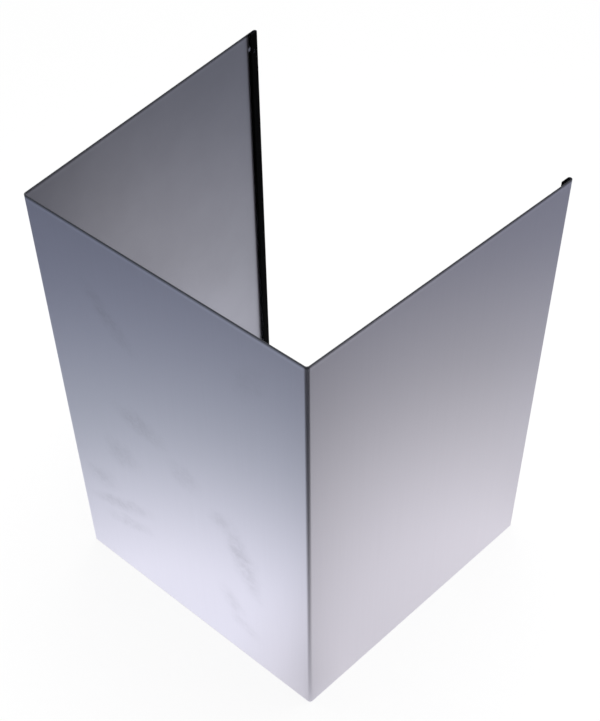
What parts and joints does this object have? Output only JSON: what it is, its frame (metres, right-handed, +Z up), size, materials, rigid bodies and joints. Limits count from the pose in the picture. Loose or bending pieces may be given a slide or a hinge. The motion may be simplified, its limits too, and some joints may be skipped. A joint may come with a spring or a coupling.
{
  "type": "cooker hood chimney section",
  "caption": "U-shaped chimney section of folded stainless sheet that covers the duct above a wall cooker hood, open at top, foot and back, with hemmed rear edges.",
  "frame": {"origin": "middle of the bounding box at the foot, on the surface that the section stands on", "axes": "+Z up along the duct, -Y out of the front panel, +Y to the open back against the wall"},
  "size_m": [0.3006, 0.26, 0.395],
  "materials": {
    "satin_stainless": "satin, fine grain upright on the panels"
  },
  "bodies": {
    "root": {"chimney_shell": "satin_stainless"}
  },
  "joints": []
}
